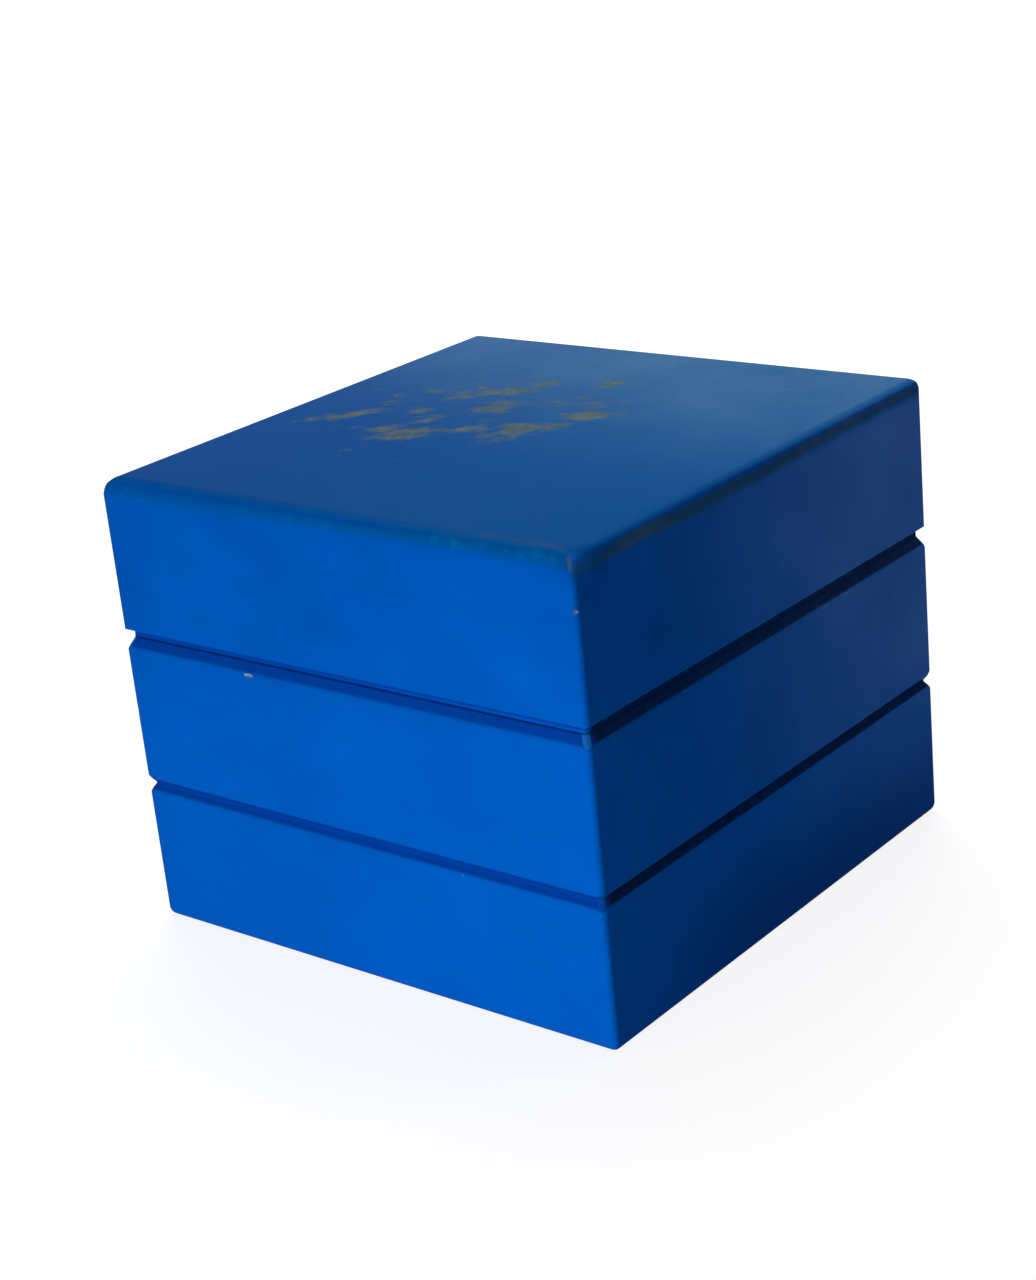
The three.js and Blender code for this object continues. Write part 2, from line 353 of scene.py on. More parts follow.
paint = {
    "deepBlue": srgb(0, 80, 175),
    "lightBlue": srgb(0, 93, 196),
    "rubbedBlue": srgb(0, 88, 160),          # worn thin along the edges
    "dullBlue": srgb(36, 76, 118),           # worn and dirty, and darkened as painted shade, along the right edge
    "dullNose": srgb(70, 100, 112),          # at the corner that the front and right edges meet in
    "teal": srgb(12, 114, 178),
    # painted highlight, along the lid's rounded right top edge and on the mitres at the grooves' corners
    "paintedHighlightBlue": srgb(26, 114, 204),
    # painted shade at the foot of the sides
    "paintedShadeFootBlue": srgb(0, 66, 150),
    "topFlatBlue": srgb(2, 101, 190),          # painted sheen, pale, on the flat of the lid's top towards the rear
    "topFlatTeal": srgb(3, 111, 198),          # and on the right
    "paintedSheen": srgb(122, 186, 224),            # chalky, where the paint has aged most
    # painted sheen on the sides, towards the rear and up
    "paintedSideSheen": srgb(112, 162, 236),
    "grooveShadeFront": srgb(0, 60, 153),               # painted shade in the grooves of the front
    "grooveShadeOther": srgb(2, 32, 78),            # darker painted shade in the other grooves
    "patchDark": srgb(104, 128, 100),        # rubbed thin on the lid's top, blue still in it
    "patchPale": srgb(142, 156, 130),
    "board": srgb(142, 134, 96),
    "paleBoard": srgb(174, 164, 130),
    "filler": srgb(150, 160, 168),
    "specular": 0.0018,
    "broad": (38, 3, 0.55),                  # noises: scale, detail and roughness
    "fine": (620, 3, 0.6),
    "rub": (75, 4, 0.65),
    "scuff": (420, 4, 0.7),
    "grain": (1500, 2, 0.55),
    "strokes": (900, 2, 0.55),               # brush marks, along the front
    "strokeStretch": (14, 1, 5),
}

# The flat of the lid's top: a lighter blue turning teal towards the right, and a painted sheen growing
# towards the rear
topTintAndSheen = {
    "depth": (0.1 * mm, 0.8 * mm),           # below the top, over which it ends
    "fromLeft": (-0.7 * halfWidth, 0.6 * halfWidth),   # from blue to teal
    "show": 0.85,
    "toRear": (-0.4 * halfDepth, 1.1 * halfDepth),   # over which the painted sheen grows
    "lean": 0.2,                             # of that way, towards the right
    "paintedSheen": 0.38,
    "broadSway": 0.6,
    "fineSway": 0.2,
}


def paintTopTintAndSheen(place, broad, fine, coat):      # the flat of the lid's top, lighter blue to teal, with a painted sheen growing towards the rear
    x, y, z = axesOf(place)
    flat = (topZ - z).fall(*topTintAndSheen["depth"])
    topTint = x.rise(*topTintAndSheen["fromLeft"]).colour(paint["topFlatBlue"], paint["topFlatTeal"])
    coat = (flat * topTintAndSheen["show"]).colour(coat, topTint)
    toRear = (y + x * topTintAndSheen["lean"]).rise(*topTintAndSheen["toRear"])
    # Painted sheen, growing towards the rear
    paintedSheen = toRear * (topTintAndSheen["paintedSheen"] + broad.sway(topTintAndSheen["broadSway"]) + fine.sway(topTintAndSheen["fineSway"]))
    return (flat * paintedSheen).colour(coat, paint["paintedSheen"])


# The sides away from the front: painted sheen towards the rear and up, painted shade at the foot
sideSheenAndShade = {
    "toRear": (-0.2 * halfDepth, 1.5 * halfDepth),   # over which the painted sheen grows
    "lean": 0.4,                             # of that way, upwards
    "lowShow": 0.55,                         # share of it on the lowest band
    "lowReach": (lowerLip - 4 * mm, bandLip + 8 * mm),
    "topReach": (1.2 * mm, 4 * mm),          # below the top, whose rounded edge stays blue
    "paintedSheen": 0.29,
    "broadSway": 0.4,
    "footReach": (3 * mm, 24 * mm),          # above the floor, over which the painted shade at the foot ends
    "footFrom": (6 * mm, 40 * mm),           # back from the front, over which it begins
    "foot": 0.7,
}


def paintSideSheenAndShade(place, broad, coat):           # away from the front: painted sheen up at the rear, painted shade at the foot
    _, y, z = axesOf(place)
    low = sideSheenAndShade["lowShow"]
    rear = (y + z * sideSheenAndShade["lean"]).rise(*sideSheenAndShade["toRear"])
    rear = rear * (low + z.rise(*sideSheenAndShade["lowReach"]) * (1 - low))
    rear = rear * (topZ - z).rise(*sideSheenAndShade["topReach"])
    paintedSheen = rear * (sideSheenAndShade["paintedSheen"] + broad.sway(sideSheenAndShade["broadSway"]))
    coat = paintedSheen.colour(coat, paint["paintedSideSheen"])
    # Painted shade at the foot
    foot = z.fall(*sideSheenAndShade["footReach"]) * (y + halfDepth).rise(*sideSheenAndShade["footFrom"])
    return (foot * sideSheenAndShade["foot"]).colour(coat, paint["paintedShadeFootBlue"])


edgeWearShadeAndHighlight = {
    "edgeBand": (4.5 * mm, 2.6 * mm),        # in from an edge, over which it begins
    "split": 0.4 * mm,                       # half of the width over which the front turns into the right
    "towardCorner": (-0.5 * halfWidth, 0.8 * halfWidth),
    "offCorner": (1 * mm, 14 * mm),          # back from the corner
    "alongRight": (-0.6 * halfDepth, 0.8 * halfDepth),
    "rubSway": 2.4 * mm,                     # how far the worn band wanders
    "scuffSway": 1.0 * mm,
    "rightDrop": 0.7 * mm,                   # lower on the right
    "cornerLift": 1.4 * mm,                  # higher at the front, towards the corner
    "rightTrim": 0.5 * mm,                   # narrower on the right
    "rearTrim": 0.7 * mm,                    # and more so towards the rear
    "bandStart": (-0.6 * mm, 0.9 * mm),      # across the rounding, down from its middle
    "bandEnd": (2.0 * mm, 3.6 * mm),
    "bandDepth": (3 * mm, 4 * mm),           # below a side's face, over which it ends
    "rubbed": (0.5, 0.3),                    # share, and what is added towards the corner
    "dull": (0.3, 0.55),                     # share on the right, and what is added away from the corner
    "shoulderStart": (-2.2 * mm, -1.2 * mm),
    "shoulderEnd": (-0.4 * mm, 0.5 * mm),
    "shoulder": 0.5,
    "fleckMix": (0.6, 0.4, 0.06),            # of scuff, of rub, and of the front towards the corner
    "fleckRange": (0.53, 0.66),
    "flecks": (0.15, 0.2, 0.28),             # share, what is added in front, and there towards the corner
    "lineStart": (-5.5 * mm, -2.8 * mm),     # a bare line on the top, along the front
    "lineEnd": (-2.8 * mm, -1.6 * mm),
    "lineDepth": (5 * mm, 6 * mm),
    "lineAlong": (0.4 * halfWidth, 0.8 * halfWidth),
    "lineRange": (0.35, 0.7),
    "line": 0.2,
    "bareRange": (0.4, 0.65),                # bare spots on the right edge
    "bareRight": 0.07,
}


def topEdgeWearShadeAndHighlight(place, around, depth, rub, scuff, coat):   # the rounded edges of the lid's top: wear, painted shade and a painted highlight
    x, y, _ = axesOf(place)
    begin, whole = edgeWearShadeAndHighlight["edgeBand"]
    split = edgeWearShadeAndHighlight["split"]
    front = (0 - y).rise(halfDepth - begin, halfDepth - whole) * (x + y).fall(-split, split)
    right = x.rise(halfWidth - begin, halfWidth - whole) * (x + y).rise(-split, split)
    towardCorner = x.rise(*edgeWearShadeAndHighlight["towardCorner"])
    frontCorner = front * towardCorner
    offCorner = (y + halfDepth).rise(*edgeWearShadeAndHighlight["offCorner"])
    rightRear = right * y.rise(*edgeWearShadeAndHighlight["alongRight"])

    ridge = around + rub.sway(edgeWearShadeAndHighlight["rubSway"])
    wave = ridge + scuff.sway(edgeWearShadeAndHighlight["scuffSway"])
    wave = wave - right * edgeWearShadeAndHighlight["rightDrop"] + frontCorner * edgeWearShadeAndHighlight["cornerLift"]
    reach = wave + right * edgeWearShadeAndHighlight["rightTrim"] + rightRear * edgeWearShadeAndHighlight["rearTrim"]
    outer = wave.rise(*edgeWearShadeAndHighlight["bandStart"]) * reach.fall(*edgeWearShadeAndHighlight["bandEnd"])
    outer = outer * depth.fall(*edgeWearShadeAndHighlight["bandDepth"])
    share, more = edgeWearShadeAndHighlight["rubbed"]
    coat = (outer * (share + towardCorner * more)).colour(coat, paint["rubbedBlue"])
    # Duller on the right: wear and painted shade
    share, more = edgeWearShadeAndHighlight["dull"]
    coat = (outer * right * (share + offCorner * more)).colour(coat, paint["dullBlue"])
    # Painted highlight along the rounding on the right, above the dull band
    shoulder = around.rise(*edgeWearShadeAndHighlight["shoulderStart"]) * around.fall(*edgeWearShadeAndHighlight["shoulderEnd"]) * right
    coat = (shoulder * edgeWearShadeAndHighlight["shoulder"]).colour(coat, paint["paintedHighlightBlue"])

    ofScuff, ofRub, ofCorner = edgeWearShadeAndHighlight["fleckMix"]
    mixed = scuff * ofScuff + rub * ofRub + frontCorner * ofCorner
    flecks = mixed.rise(*edgeWearShadeAndHighlight["fleckRange"]) * outer
    share, inFront, atCorner = edgeWearShadeAndHighlight["flecks"]
    coat = (flecks * (share + front * inFront + frontCorner * atCorner)).colour(coat, paint["teal"])

    inner = ridge.rise(*edgeWearShadeAndHighlight["lineStart"]) * ridge.fall(*edgeWearShadeAndHighlight["lineEnd"])
    inner = inner * depth.fall(*edgeWearShadeAndHighlight["lineDepth"])
    line = inner * front * x.rise(*edgeWearShadeAndHighlight["lineAlong"])
    line = line * (rub.rise(*edgeWearShadeAndHighlight["lineRange"]) * edgeWearShadeAndHighlight["line"])
    side = outer * right * (rub.rise(*edgeWearShadeAndHighlight["bareRange"]) * edgeWearShadeAndHighlight["bareRight"])
    return coat, line.most(side)


streak = {
    "shift": 0.15 * mm,                      # off the corner, towards the front
    "scuffSway": 0.8 * mm,
    "half": (0.2 * mm, 0.7 * mm),            # half of its width, over which it ends
    "tip": (6 * mm, 5 * mm),                 # short of the corner, along both edges together
    "start": (0.5 * mm, 1.2 * mm),           # below the top
    "end": (1.9 * mm, 3 * mm),
    "show": 0.7,
}


def cornerStreak(place, scuff, coat):        # dull, down the corner between the front and the right
    x, y, z = axesOf(place)
    down = topZ - z
    begin, whole = streak["tip"]
    worn = abs(x + y + streak["shift"] + scuff.sway(streak["scuffSway"])).fall(*streak["half"])
    worn = worn * (x - y).rise(halfWidth + halfDepth - begin, halfWidth + halfDepth - whole)
    worn = worn * down.rise(*streak["start"]) * down.fall(*streak["end"])
    return (worn * streak["show"]).colour(coat, paint["dullNose"])


patchWear = {
    "place": (-13 * mm, 7 * mm, 0),
    "turn": radians(35),
    "reach": (28 * mm, 23 * mm),
    "blots": (120, 6, 0.64),
    "stretch": (1.5, 1, 1),
    "thinning": 0.1,                         # of the blots, away from the middle
    "range": (0.455, 0.6),
    "depth": (0.1 * mm, 0.5 * mm),           # off the top, over which it ends
    "show": 0.8,
}


def wornPatch(place, z):                     # where the paint is rubbed thin on the lid's top
    spot = place.mapped(patchWear["place"], patchWear["turn"])
    along, across, _ = axesOf(spot)
    reachX, reachY = patchWear["reach"]
    far = (along * along) / reachX ** 2 + (across * across) / reachY ** 2
    blots = spot.mapped(stretch=patchWear["stretch"]).noise(*patchWear["blots"])
    flat = abs(z - topZ).fall(*patchWear["depth"])
    return (blots - far * patchWear["thinning"]).rise(*patchWear["range"]) * flat * patchWear["show"]


coatWearAndShade = {
    "tone": 0.75,                            # at the foot
    "paintedShadeUp": 0.45,                         # painted shade: the coat darker towards the top
    "broadSway": 0.9,
    "strokeSway": 0.35,
    "thinMix": (0.9, 0.5),                   # of rub and scuff
    "thinReach": 1.6 * mm,                   # from an outer edge
    "thinRange": (0.5, 0.8),
    "thin": 0.25,
    "bareMix": (0.9, 0.9),
    "bareReach": 1.2 * mm,
    "bareRange": (1.02, 1.1),
    "bare": 0.7,
    "frontBand": (3 * mm, 1.6 * mm),         # in from the front, over which it begins
    # Painted shade spared on the front of the lid's rim, towards the corner
    "shadeLiftedStrip": (0.9 * mm, 0.75 * mm),     # below the lid's lip, over which it ends
    "shadeLiftedAlong": (-0.3 * halfWidth, 0.8 * halfWidth),
    "shadeLifted": 0.5,
    "paleRange": (0.35, 0.7),                # of scuff, over which worn spots turn pale
}


def nearEdge(edgeGap, rub, scuff, kind):     # wear of a kind, thin or bare, along the outer edges
    ofRub, ofScuff = coatWearAndShade[f"{kind}Mix"]
    mixed = rub * ofRub + scuff * ofScuff - edgeGap / coatWearAndShade[f"{kind}Reach"]
    return mixed.rise(*coatWearAndShade[f"{kind}Range"]) * coatWearAndShade[kind]


# Painted shade in the grooves, and painted highlights on the mitres at their corners
grooveShading = {
    "lidRim": (0.9, 0.1),                    # painted shade, and how much painted highlight the mitres at the corners get
    "lower": (0.95, 0.15),
    "baseRim": (0.9, 0.9),
    "lipBlend": 0.1 * mm,
    "start": (0.1 * mm, 0.35 * mm),          # below a side's face
    "end": (2.5 * mm, 3 * mm),
    "fineSway": 0.3,
    "mitreHalf": (0.75 * mm, 1.0 * mm),      # half of the width of a mitre's painted highlight, over which it ends
}


def shadeGroove(groove, z, depth, mitre, fine, shadeSpared, grooveShadeColour, coat):   # painted shade in a groove, a painted highlight on its mitres; a groove is its low, high and amounts
    low, high, (amount, rubbed) = groove
    blend = grooveShading["lipBlend"]
    inside = z.rise(low - blend, low + blend) * z.fall(high - blend, high + blend)
    inside = inside * depth.rise(*grooveShading["start"]) * depth.fall(*grooveShading["end"])
    # Painted shade inside the groove, less where it is spared
    coat = (inside * (amount - shadeSpared + fine.sway(grooveShading["fineSway"]))).colour(coat, grooveShadeColour)
    # Painted highlight on the mitres at the groove's corners
    hip = mitre.fall(*grooveShading["mitreHalf"]) * inside
    return (hip * rubbed).colour(coat, paint["paintedHighlightBlue"])


def knockedSpots(place, body, scuff, shown):   # what shows where the edges were knocked
    for spot, size, colour, show in marks[body]:
        middle = [value * mm for value in spot]
        halves = [value * mm for value in size]
        inMark = place.mapped(middle, 0, halves)
        reach = place.node("ShaderNodeVectorMath", {"operation": "LENGTH"}, {0: inMark}, "Value")
        knocked = (reach + scuff.sway(marks["scuffSway"])).fall(*marks["rim"])
        shown = (knocked * show).colour(shown, paint[colour])
    return shown


coatFeel = {
    "roughness": 0.22,
    "fineSway": 0.12,
    "broadSway": 0.1,
    "bareRough": 0.3,
    "fineHeight": 0.5,
    "grainHeight": 0.25,
    "strokeHeight": 0.4,
    "bareDepth": 2.5,
    "strength": 1.0,
    "distance": 0.02 * mm,
}


def paintFinish(name, body, heights, grooves):   # the heights of the outer edges, and the grooves
    finish, shader, place = newFinish(name, {"Specular IOR Level": paint["specular"]})
    x, y, z = axesOf(place)
    sideGap = halfWidth - abs(x)
    endGap = halfDepth - abs(y)
    depth = sideGap.least(endGap)            # below the nearest side's face
    levelGap = abs(z - heights[0])
    for height in heights[1:]:
        levelGap = levelGap.least(abs(z - height))
    edgeGap = depth.most(sideGap.most(endGap).least(levelGap))   # to the nearest outer edge

    broad, fine, rub, scuff, grain = [
        place.noise(*paint[key]) for key in ("broad", "fine", "rub", "scuff", "grain")]
    strokes = place.mapped(stretch=paint["strokeStretch"]).noise(*paint["strokes"])
    # Painted shade: the coat darker towards the top
    worn = coatWearAndShade["tone"] - coatWearAndShade["paintedShadeUp"] * (z / topZ)
    tone = worn + broad.sway(coatWearAndShade["broadSway"]) + strokes.sway(coatWearAndShade["strokeSway"])
    coat = tone.rise(0, 1).colour(paint["deepBlue"], paint["lightBlue"])
    coat = nearEdge(edgeGap, rub, scuff, "thin").colour(coat, paint["rubbedBlue"])
    coat = paintSideSheenAndShade(place, broad, coat)
    bare = nearEdge(edgeGap, rub, scuff, "bare")
    begin, whole = coatWearAndShade["frontBand"]
    inFront = (0 - y).rise(halfDepth - begin, halfDepth - whole)
    pale = scuff.rise(*coatWearAndShade["paleRange"])
    shadeSpared = 0.0                             # less painted shade on the front of the lid's rim, towards the corner
    if body == "lid":
        coat = paintTopTintAndSheen(place, broad, fine, coat)
        coat, rubbed = topEdgeWearShadeAndHighlight(place, topZ - z - depth, depth, rub, scuff, coat)
        coat = cornerStreak(place, scuff, coat)
        bare = bare.most(rubbed)
        coat = wornPatch(place, z).colour(coat, pale.colour(paint["patchDark"], paint["patchPale"]))
        begin, whole = coatWearAndShade["shadeLiftedStrip"]
        strip = z.fall(lidLip - begin, lidLip - whole)
        shadeSpared = inFront * strip * x.rise(*coatWearAndShade["shadeLiftedAlong"]) * coatWearAndShade["shadeLifted"]
    # Painted shade for the grooves: lighter on the front, darker elsewhere
    grooveShadeColour = inFront.colour(paint["grooveShadeOther"], paint["grooveShadeFront"])
    for groove in grooves:
        coat = shadeGroove(groove, z, depth, abs(sideGap - endGap), fine, shadeSpared, grooveShadeColour, coat)
    shown = bare.colour(coat, pale.colour(paint["board"], paint["paleBoard"]))
    place.feed(shader.inputs["Base Color"], knockedSpots(place, body, scuff, shown))

    rough = coatFeel["roughness"] + fine.sway(coatFeel["fineSway"]) + broad.sway(coatFeel["broadSway"])
    place.feed(shader.inputs["Roughness"], rough + bare * coatFeel["bareRough"])
    relief = fine * coatFeel["fineHeight"] + grain * coatFeel["grainHeight"]
    relief = relief + strokes * coatFeel["strokeHeight"] - bare * coatFeel["bareDepth"]
    bumpBy(shader, relief, coatFeel["strength"], coatFeel["distance"])
    return finish


# Brass, felt and velvet

brassLook = {
    "bright": srgb(196, 158, 84),
    "dark": srgb(142, 106, 50),
    "tarnish": (260, 4, 0.6),                # noises: scale, detail and roughness
    "strokes": (2600, 2, 0.55),
    "strokeStretch": (12, 1, 1),
    "darkRange": (0.35, 0.72),
    "roughness": 0.26,
    "tarnishRough": 0.22,
    "strokeRough": 0.08,
    "strength": 0.5,
    "distance": 0.008 * mm,
}


def brassFinish(name):
    finish, shader, place = newFinish(name, {"Metallic": 1.0})
    tarnish = place.noise(*brassLook["tarnish"])
    strokes = place.mapped(stretch=brassLook["strokeStretch"]).noise(*brassLook["strokes"])
    tint = tarnish.rise(*brassLook["darkRange"]).colour(brassLook["bright"], brassLook["dark"])
    rough = brassLook["roughness"] + tarnish * brassLook["tarnishRough"] + strokes * brassLook["strokeRough"]
    place.feed(shader.inputs["Base Color"], tint)
    place.feed(shader.inputs["Roughness"], rough)
    bumpBy(shader, strokes, brassLook["strength"], brassLook["distance"])
    return finish


feltLook = {"dark": srgb(104, 102, 99), "light": srgb(150, 147, 142), "fibres": (2600, 4, 0.75)}
velvetLook = {"dark": srgb(98, 97, 99), "light": srgb(140, 139, 142), "fibres": (3600, 4, 0.75)}
nap = {
    "constants": {"Specular IOR Level": 0.15, "Roughness": 0.95,
                  "Sheen Weight": 0.35, "Sheen Roughness": 0.45},
    "matted": (95, 4, 0.6),
    "mattedShade": 0.45,
    "fibreShade": 0.55,
    "lightRange": (0.3, 0.7),
    "mattedHeight": 0.6,
    "strength": 0.7,
    "distance": 0.12 * mm,
}


def napFinish(name, look):                   # felt or velvet: short fibres, matted here and there
    finish, shader, place = newFinish(name, nap["constants"])
    matted = place.noise(*nap["matted"])
    fibres = place.noise(*look["fibres"])
    shade = matted * nap["mattedShade"] + fibres * nap["fibreShade"]
    tint = shade.rise(*nap["lightRange"]).colour(look["dark"], look["light"])
    place.feed(shader.inputs["Base Color"], tint)
    bumpBy(shader, fibres + matted * nap["mattedHeight"], nap["strength"], nap["distance"])
    return finish


# A painted shadow under the lid's lip, round its rim, and painted shade in the base's grooves
lidGrooves = [(lidFoot, lidLip, grooveShading["lidRim"])]
lidPaint = paintFinish("blue_paint_lid", "lid", [topZ, lidLip], lidGrooves)
baseLips = [floorLow.z, lowerLip, bandLip, middleLip]
baseGrooves = [(lowerLip, bandLip, grooveShading["lower"]), (middleLip, baseRim, grooveShading["baseRim"])]
basePaint = paintFinish("blue_paint_base", "base", baseLips, baseGrooves)
brass = brassFinish("aged_brass")
felt = napFinish("grey_felt", feltLook)
velvet = napFinish("grey_velvet", velvetLook)
print("finishes made")


# Painted shells

def outerEdges(piece, radius, test):         # a bevel weight on the outer edges that pass
    def passes(edge):
        middle = (edge.verts[0].co + edge.verts[1].co) / 2
        return test(middle, runOf(edge))
    pick(piece, "EDGE", passes)
    bpy.ops.transform.edge_bevelweight(value=radius / largestRound)


def inFrom(middle):                          # how far in from the nearest side
    return min(halfWidth - abs(middle.x), halfDepth - abs(middle.y))


def uprightEdge(middle, run):                # up or aslant along one of the box's four corners
    apart = (halfWidth - abs(middle.x)) - (halfDepth - abs(middle.y))
    return abs(run.z) > hardly and abs(apart) < near and inFrom(middle) < wall / 2


def ringEdge(height, inset):                 # round the box at a height
    return lambda middle, run: (abs(run.z) < hardly and abs(middle.z - height) < near
                                and abs(inFrom(middle) - inset) < near)


def topEdge(side):                           # one of the four edges of the lid's top
    axis, sign = {"front": (1, -1), "rear": (1, 1), "left": (0, -1), "right": (0, 1)}[side]
    reach = (halfWidth, halfDepth)[axis]
    return lambda middle, run: (abs(run[axis]) < hardly and abs(middle.z - topZ) < near
                                and abs(middle[axis] - sign * reach) < near)


def roundEdges(piece):
    leaveEdit()
    applyModifier(piece, "BEVEL", {"limit_method": "WEIGHT", "width": largestRound,
                                   "segments": shell["roundSteps"]})


# The corner of the lid's top between the front and the right is rubbed round
rubbedCorner = {
    "outward": Vector((1, -1, 0.3)),
    "depth": 2.4 * mm,
    "reach": 6.5 * mm,
    "cuts": (2.4 * mm, 3.4 * mm, 4.4 * mm, 5.4 * mm, 6.5 * mm),   # from it, where the faces can bend
}


def rubCorner(piece):                        # draws in what lies near the corner, most at its tip
    tip = Vector((halfWidth, -halfDepth, topZ))
    inward = -rubbedCorner["outward"].normalized()
    makeActive(piece)
    bpy.ops.object.mode_set(mode="EDIT")
    for cut in rubbedCorner["cuts"]:
        for way in (Vector((1, 0, 0)), Vector((0, -1, 0)), Vector((0, 0, 1))):
            bpy.ops.mesh.select_all(action="SELECT")
            bpy.ops.mesh.bisect(plane_co=tip - way * cut, plane_no=way)
    leaveEdit()
    for vertex in piece.data.vertices:
        share = max(0, 1 - (vertex.co - tip).length / rubbedCorner["reach"])
        vertex.co += inward * rubbedCorner["depth"] * share ** 2


# Brass hinges and their screws, which the rims are cut to seat
hinge = {
    "leafThickness": 0.8 * mm,
    "barrelRadius": 1.0 * mm,
    "boreRadius": 0.56 * mm,
    "relief": 0.25 * mm,                     # round a barrel
    "knuckleGap": 0.2 * mm,
    "tuck": 0.1 * mm,                        # of a leaf's plate past the axis, inside its barrel
    "endStep": 0.2 * mm,                     # a barrel's ends in from its leaf's
    "outerKnuckle": 5.6 * mm,
    "seatGap": 0.1 * mm,                     # round a leaf in its mortise
    "pastRim": 2 * mm,                       # how far a mortise is cut past the rim
    "pastRear": 1 * mm,                      # and past the rear face
    "boreOver": 1 * mm,                      # how far a bore is cut past a leaf's ends
    "sides": 48,
    "cornerRound": 0.6 * mm,                 # of a leaf's inner corners
    "cornerSteps": 5,
    "edgeRound": 0.08 * mm,
    "edgeSteps": 2,
    "smoothAngle": 35,                       # degrees
    "pinRound": 0.45,                        # of the pin's radius
    "pinSteps": 4,
    "pinSmoothAngle": 40,                    # degrees
}

screw = {
    "headRadius": 1.25 * mm,
    "headHeight": 0.6 * mm,
    "headRim": 0.08 * mm,                    # height of the head's upright rim
    "crestRadius": 0.65 * mm,                # of the thread
    "coreRadius": 0.47 * mm,
    "threads": 7,
    "flankShare": 0.4,                       # of a thread's pitch, on either side of its crest
    "crestShare": 0.2,
    "tipRadius": 0.15 * mm,
    "tipLength": 1.2 * mm,
    "length": 6 * mm,
    "slotWidth": 0.4 * mm,
    "slotDepth": 0.3 * mm,
    "slotOver": 1 * mm,                      # how far the slot is cut past the head
    "gap": 0.1 * mm,                         # round a screw in its hole
    "sinkOver": 0.2 * mm,                    # how far a countersink is cut past a head's ends
    "sides": 40,
    "drillSides": 16,
    "sharpAngle": 60,                        # degrees
    "edgeRound": 0.04 * mm,
    "edgeSteps": 2,
    "smoothAngle": 40,                       # degrees
    "turnEach": 67,                          # degrees, so that no two slots line up
}


def cutHinges(piece, rimZ, up):              # mortises, barrel relief and screw holes in the rear rim
    body = "base" if up < 0 else "lid"
    for side in hingeSides:
        low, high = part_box(f"{side}_hinge_{body}_leaf")
        gap = hinge["seatGap"]
        bottom = rimZ + up * hinge["leafThickness"]
        beyond = rimZ - up * hinge["pastRim"]
        nearCorner = (low.x - gap, low.y - gap, min(bottom, beyond))
        farCorner = (high.x + gap, halfDepth + hinge["pastRear"], max(bottom, beyond))
        combine(piece, startBlock("mortise", nearCorner, farCorner), "DIFFERENCE")
        radius = hinge["barrelRadius"] + hinge["relief"]
        start = (low.x - gap, hingeAxis.y, hingeAxis.z)
        end = (high.x + gap, hingeAxis.y, hingeAxis.z)
        combine(piece, startRod("relief", radius, start, end, hinge["sides"]), "DIFFERENCE")
        for number in screwNumbers:
            low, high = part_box(f"{side}_hinge_{body}_screw_{number}")
            middle = (low + high) / 2
            start = (middle.x, middle.y, rimZ)
            end = (middle.x, middle.y, rimZ + up * (screw["length"] + screw["gap"]))
            drill = startRod("drill", screw["crestRadius"] + screw["gap"], start, end, screw["drillSides"])
            combine(piece, drill, "DIFFERENCE")
    clearSlivers(piece)


def knock(piece, body):                      # small chips out of the edges
    for number, (spot, size, _, _) in enumerate(marks[body]):
        bpy.ops.object.select_all(action="DESELECT")
        bpy.ops.mesh.primitive_ico_sphere_add(subdivisions=marks["stoneSteps"], radius=mm,
                                              location=[value * mm for value in spot])
        stone = bpy.context.object
        stone.scale = size
        bpy.ops.object.transform_apply(location=True, rotation=True, scale=True)
        bpy.ops.object.mode_set(mode="EDIT")
        bpy.ops.mesh.select_all(action="SELECT")
        bpy.ops.transform.vertex_random(offset=marks["rough"], seed=number)
        leaveEdit()
        combine(piece, stone, "DIFFERENCE")
    clearSlivers(piece)


def slope(rise, fromInset, toInset):         # extrude upwards, drawing in or out
    push(rise)
    across = (halfWidth - toInset) / (halfWidth - fromInset)
    deep = (halfDepth - toInset) / (halfDepth - fromInset)
    bpy.ops.transform.resize(value=(across, deep, 1))


def paintedLid():
    groove = shell["rimInset"]
    piece = startBlock("painted_lid", (-halfWidth, -halfDepth, lidLip), (halfWidth, halfDepth, topZ))
    pick(piece, "FACE", lambda face: face.normal.z < -mostly)
    bpy.ops.mesh.inset(thickness=groove, use_even_offset=True)
    push(lidFoot - lidLip)
    bpy.ops.mesh.inset(thickness=wall - groove, use_even_offset=True)
    push(roofZ - lidFoot)
    for side, radius in shell["topRound"].items():
        outerEdges(piece, radius, topEdge(side))
    outerEdges(piece, shell["uprightRound"], uprightEdge)
    outerEdges(piece, shell["lipRound"], ringEdge(lidLip, 0))
    outerEdges(piece, shell["rimRound"], ringEdge(lidFoot, groove))
    outerEdges(piece, shell["rimRound"], ringEdge(lidFoot, wall))
    roundEdges(piece)
    rubCorner(piece)
    cutHinges(piece, lidRim, 1)
    knock(piece, "lid")
    smoothBy(piece, shell["smoothAngle"])
    boards = ["lid_top_board"] + [f"lid_{side}_wall" for side in walls]
    settle(piece, "lid", boards, lidPaint)


